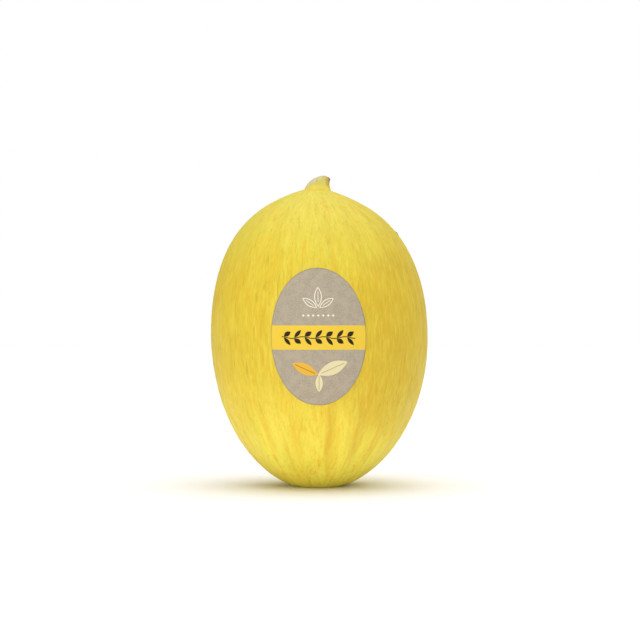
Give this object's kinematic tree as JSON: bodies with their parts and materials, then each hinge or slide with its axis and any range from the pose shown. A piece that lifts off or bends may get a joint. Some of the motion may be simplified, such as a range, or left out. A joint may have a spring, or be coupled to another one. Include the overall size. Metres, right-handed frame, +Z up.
{
  "type": "honeydew melon",
  "caption": "Whole yellow honeydew melon, egg-shaped with a finely wrinkled rind, a short dry stem stub and a plain oval paper label, standing upright.",
  "frame": {"origin": "middle of the small flat spot on the blossom end, which the melon stands on", "axes": "+Z up through the stem end; the label faces -Y; the stem stub leans towards +X"},
  "size_m": [0.135, 0.1356, 0.1932],
  "materials": {
    "rind": "waxy satin, with fine lengthwise wrinkles",
    "stalk": "dry, corky, darker at the tip",
    "label_paper": "uncoated kraft paper with a printed yellow band"
  },
  "bodies": {
    "root": {"melon": "rind", "stem_stub": "stalk", "paper_label": "label_paper"}
  },
  "joints": []
}
